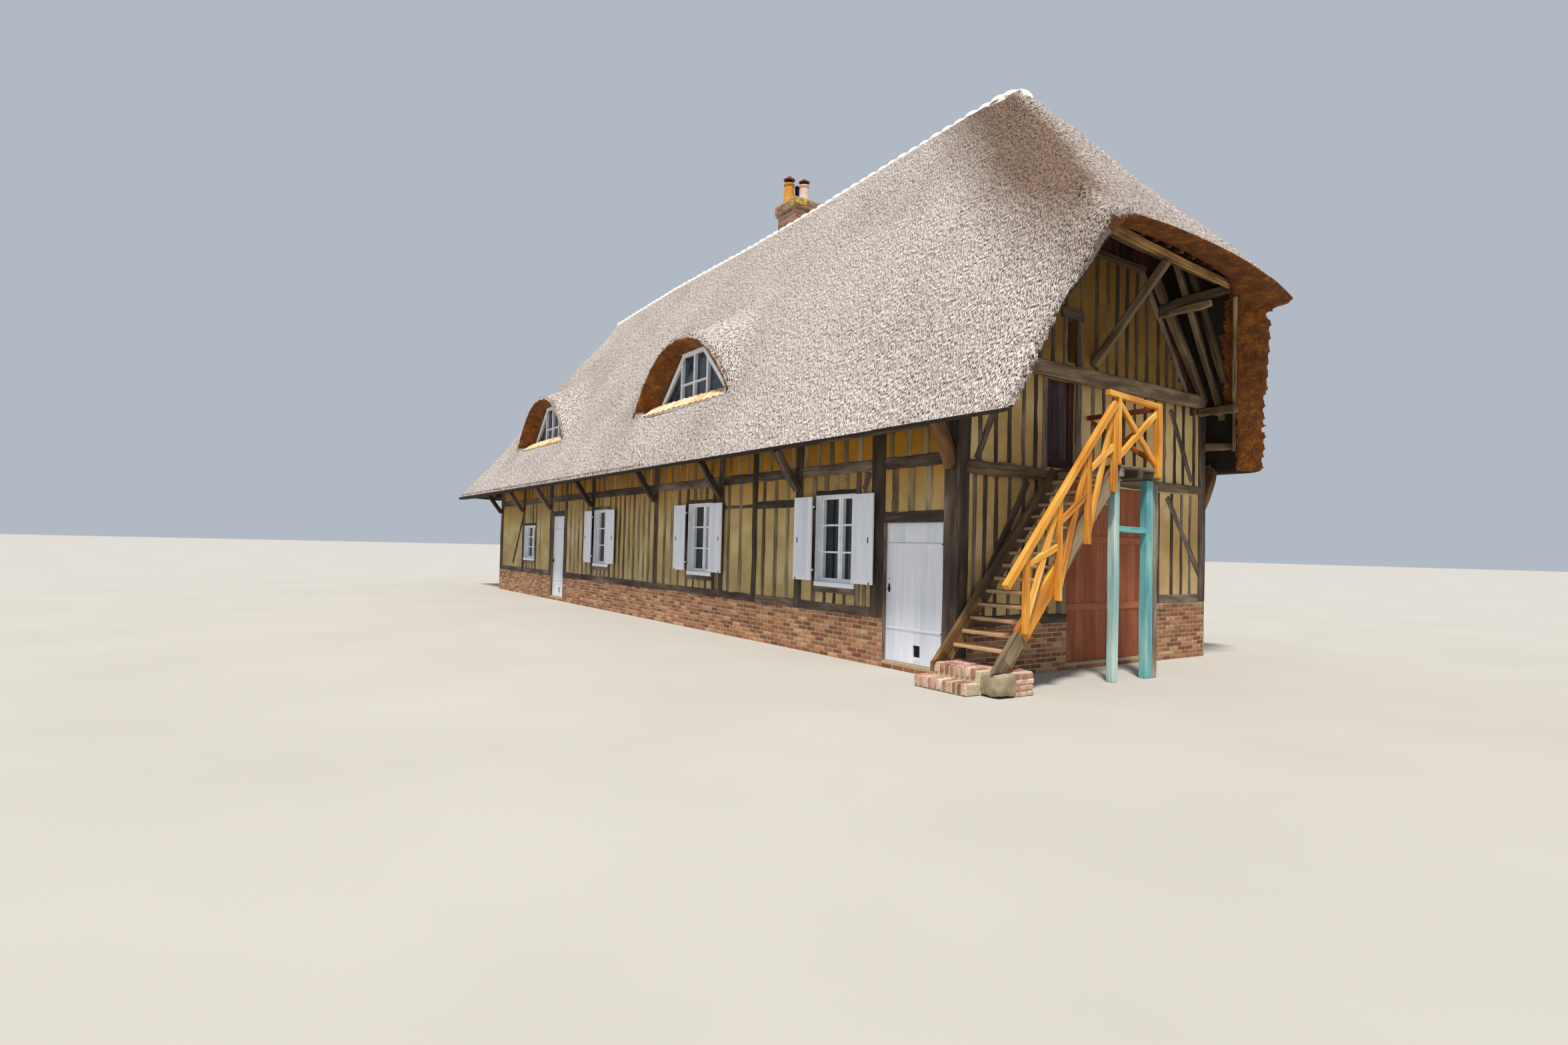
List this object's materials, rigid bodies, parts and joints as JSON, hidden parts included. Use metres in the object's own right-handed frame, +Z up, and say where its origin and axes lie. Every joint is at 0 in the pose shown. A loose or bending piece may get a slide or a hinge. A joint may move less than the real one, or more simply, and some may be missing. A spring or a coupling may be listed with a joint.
{
  "type": "thatched cottage",
  "caption": "Long half-timbered thatched cottage with eyebrow dormers, shuttered windows, a chimney and an outside wooden stair to a door in the gable.",
  "frame": {"origin": "on the ground under the middle of the bounding box of the whole cottage", "axes": "+X along the ridge towards the gable with the stair, +Y from the front to the back, +Z up"},
  "size_m": [25.3001, 7.9376, 10.9603],
  "materials": {
    "thatch": "weathered water reed thatch, rough",
    "timber": "weathered oak, unpainted",
    "daub": "ochre clay and lime daub, matt",
    "brick": "old red brick with lime mortar",
    "floorboards": "plain boards",
    "white_paint": "white painted wood, satin",
    "glass": "clear window glass",
    "orange_wood": "orange varnished softwood",
    "tread_wood": "worn brown treads",
    "grey_wood": "grey weathered oak",
    "blue_paint": "worn turquoise paint",
    "terracotta_paint": "red-brown painted boards",
    "plum_paint": "dark purple-brown boards",
    "pale_tile": "pale ridge tiles bedded in mortar",
    "pot_clay": "yellow chimney pot clay"
  },
  "bodies": {
    "house": {"thatch_front": "thatch", "thatch_back": "thatch", "thatch_left_hip": "thatch", "thatch_half_hip": "thatch", "ridge_tiles": "pale_tile", "dormer_sill_left": "pale_tile", "dormer_sill_right": "pale_tile", "dormer_window_left": "white_paint", "dormer_window_right": "white_paint", "dormer_glass_left": "glass", "dormer_glass_right": "glass", "chimney": "brick", "chimney_pot_left": "pot_clay", "chimney_pot_right": "pale_tile", "front_wall": "daub", "front_wall_left": "daub", "wall_over_front_door": "daub", "wall_over_left_door": "daub", "back_wall": "daub", "left_wall": "daub", "gable_wall": "daub", "front_timbers": "timber", "back_timbers": "timber", "left_timbers": "timber", "gable_timbers": "timber", "eave_brackets_front": "timber", "eave_brackets_back": "timber", "eave_brackets_left": "timber", "gable_truss": "grey_wood", "brick_plinth": "brick", "ground_floor": "floorboards", "upper_floor": "floorboards", "window_right": "white_paint", "window_middle": "white_paint", "window_left": "white_paint", "window_far_left": "white_paint", "window_back_right": "white_paint", "window_back_left": "white_paint", "glass_right": "glass", "glass_middle": "glass", "glass_left": "glass", "glass_far_left": "glass", "glass_back_right": "glass", "glass_back_left": "glass", "upper_door": "plum_paint", "barn_doors": "terracotta_paint", "stair_flight": "tread_wood", "stair_platform": "grey_wood", "platform_posts": "blue_paint", "stair_rail": "orange_wood", "landing_rail": "orange_wood", "stair_foot": "brick"},
    "shutter_right_left": {"shutter_right_left": "white_paint"},
    "shutter_right_right": {"shutter_right_right": "white_paint"},
    "shutter_middle_left": {"shutter_middle_left": "white_paint"},
    "shutter_middle_right": {"shutter_middle_right": "white_paint"},
    "shutter_left_left": {"shutter_left_left": "white_paint"},
    "shutter_left_right": {"shutter_left_right": "white_paint"},
    "front_door": {"front_door": "white_paint"},
    "left_door": {"left_door": "white_paint"}
  },
  "joints": [
    {"name": "shutter_right_left_hinge", "type": "hinge", "parent": "house", "child": "shutter_right_left", "pos_m": [7.925, -3.0475, 1.82], "axis": [0, 0, 1], "range_deg": [0, 180]},
    {"name": "shutter_right_right_hinge", "type": "hinge", "parent": "house", "child": "shutter_right_right", "pos_m": [8.925, -3.0475, 1.82], "axis": [0, 0, -1], "range_deg": [0, 180]},
    {"name": "shutter_middle_left_hinge", "type": "hinge", "parent": "house", "child": "shutter_middle_left", "pos_m": [3.55, -3.0475, 1.82], "axis": [0, 0, 1], "range_deg": [0, 180]},
    {"name": "shutter_middle_right_hinge", "type": "hinge", "parent": "house", "child": "shutter_middle_right", "pos_m": [4.55, -3.0475, 1.82], "axis": [0, 0, -1], "range_deg": [0, 180]},
    {"name": "shutter_left_left_hinge", "type": "hinge", "parent": "house", "child": "shutter_left_left", "pos_m": [-1.66, -3.0475, 1.82], "axis": [0, 0, 1], "range_deg": [0, 180]},
    {"name": "shutter_left_right_hinge", "type": "hinge", "parent": "house", "child": "shutter_left_right", "pos_m": [-0.66, -3.0475, 1.82], "axis": [0, 0, -1], "range_deg": [0, 180]},
    {"name": "front_door_hinge", "type": "hinge", "parent": "house", "child": "front_door", "pos_m": [10.731, -2.884, 1.1], "axis": [0, 0, -1], "range_deg": [0, 90]},
    {"name": "left_door_hinge", "type": "hinge", "parent": "house", "child": "left_door", "pos_m": [-3.94, -2.884, 1.1], "axis": [0, 0, -1], "range_deg": [0, 90]}
  ]
}
